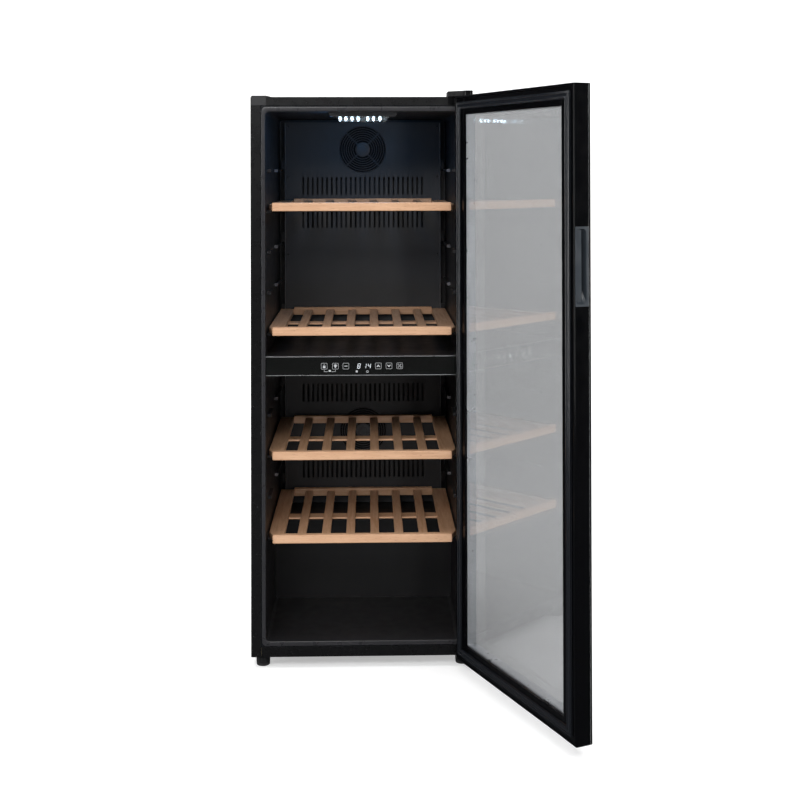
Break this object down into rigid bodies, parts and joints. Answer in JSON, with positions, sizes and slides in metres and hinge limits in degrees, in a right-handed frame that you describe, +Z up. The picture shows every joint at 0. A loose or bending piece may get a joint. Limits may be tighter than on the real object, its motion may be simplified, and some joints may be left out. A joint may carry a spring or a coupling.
{
  "type": "wine cooler",
  "caption": "Upright wine cooler in black with a right-hinged glass door, pull-out beech shelves, a lamp and a control panel across the middle.",
  "frame": {"origin": "centre of the front-left foot's sole, on the floor", "axes": "+Z up, +Y from the door side to the back, +X to the right when facing the door"},
  "size_m": [0.7567, 1.0997, 1.4235],
  "materials": {
    "case_steel": "satin",
    "dark_steel": "satin",
    "liner_plastic": "satin",
    "foam": "matte",
    "gloss_black": "gloss",
    "circuit_board": "satin",
    "black_plastic": "satin",
    "lamp_lens": "satin",
    "aluminium": "satin",
    "copper": "satin",
    "rubber": "matte",
    "seal": "satin",
    "zinc_steel": "satin",
    "glass": "gloss",
    "grip_plastic": "satin",
    "beech": "satin"
  },
  "bodies": {
    "cabinet": {"side_panel_left": "case_steel", "side_panel_right": "case_steel", "top_panel": "case_steel", "bottom_plate": "case_steel", "back_panel": "dark_steel", "rear_cover": "dark_steel", "liner": "liner_plastic", "insulation_left": "foam", "insulation_right": "foam", "insulation_top": "foam", "insulation_floor": "foam", "insulation_back": "foam", "insulation_step": "foam", "divider": "liner_plastic", "control_fascia": "gloss_black", "control_board": "circuit_board", "lamp_housing": "black_plastic", "lamp_lens": "lamp_lens", "led_board": "circuit_board", "duct_panel_upper": "black_plastic", "duct_panel_lower": "black_plastic", "fan_frame_upper": "black_plastic", "fan_frame_lower": "black_plastic", "evaporator_upper": "aluminium", "evaporator_lower": "aluminium", "compressor": "dark_steel", "condenser_coil": "copper", "drip_tray": "black_plastic", "power_unit": "black_plastic", "mains_inlet": "black_plastic", "foot_front_left": "rubber", "foot_front_right": "rubber", "foot_rear_left": "rubber", "foot_rear_right": "rubber", "hinge_bracket_top": "zinc_steel", "hinge_bracket_bottom": "zinc_steel", "hinge_cover": "black_plastic", "corner_cap": "black_plastic"},
    "door": {"door_glass_outer": "glass", "door_glass_inner": "glass", "glass_spacer": "aluminium", "door_stile_hinge": "gloss_black", "door_stile_free": "gloss_black", "door_rail_top": "gloss_black", "door_rail_bottom": "gloss_black", "door_gasket": "seal", "door_grip": "grip_plastic", "door_bush_top": "black_plastic", "door_bush_bottom": "black_plastic"},
    "shelf_top": {"shelf_rack_top": "beech", "shelf_front_top": "beech"},
    "shelf_second": {"shelf_rack_second": "beech", "shelf_front_second": "beech"},
    "shelf_third": {"shelf_rack_third": "beech", "shelf_front_third": "beech"},
    "shelf_bottom": {"shelf_rack_bottom": "beech", "shelf_front_bottom": "beech"},
    "fan_upper": {"fan_rotor_upper": "black_plastic"},
    "fan_lower": {"fan_rotor_lower": "black_plastic"}
  },
  "joints": [
    {"name": "door_hinge", "type": "hinge", "parent": "cabinet", "child": "door", "pos_m": [0.5032, -0.0582, 0.028], "axis": [0, 0, 1], "range_deg": [-113.28, 6.72]},
    {"name": "shelf_slide_top", "type": "slide", "parent": "cabinet", "child": "shelf_top", "axis": [0, -1, 0], "range_m": [0, 0.065]},
    {"name": "shelf_slide_second", "type": "slide", "parent": "cabinet", "child": "shelf_second", "axis": [0, -1, 0], "range_m": [0, 0.065]},
    {"name": "shelf_slide_third", "type": "slide", "parent": "cabinet", "child": "shelf_third", "axis": [0, -1, 0], "range_m": [0, 0.065]},
    {"name": "shelf_slide_bottom", "type": "slide", "parent": "cabinet", "child": "shelf_bottom", "axis": [0, -1, 0], "range_m": [0, 0.065]},
    {"name": "fan_spin_upper", "type": "hinge", "parent": "cabinet", "child": "fan_upper", "pos_m": [0.2475, 0.491, 1.288], "axis": [0, 1, 0], "continuous": true},
    {"name": "fan_spin_lower", "type": "hinge", "parent": "cabinet", "child": "fan_lower", "pos_m": [0.2475, 0.491, 0.483], "axis": [0, 1, 0], "continuous": true}
  ]
}
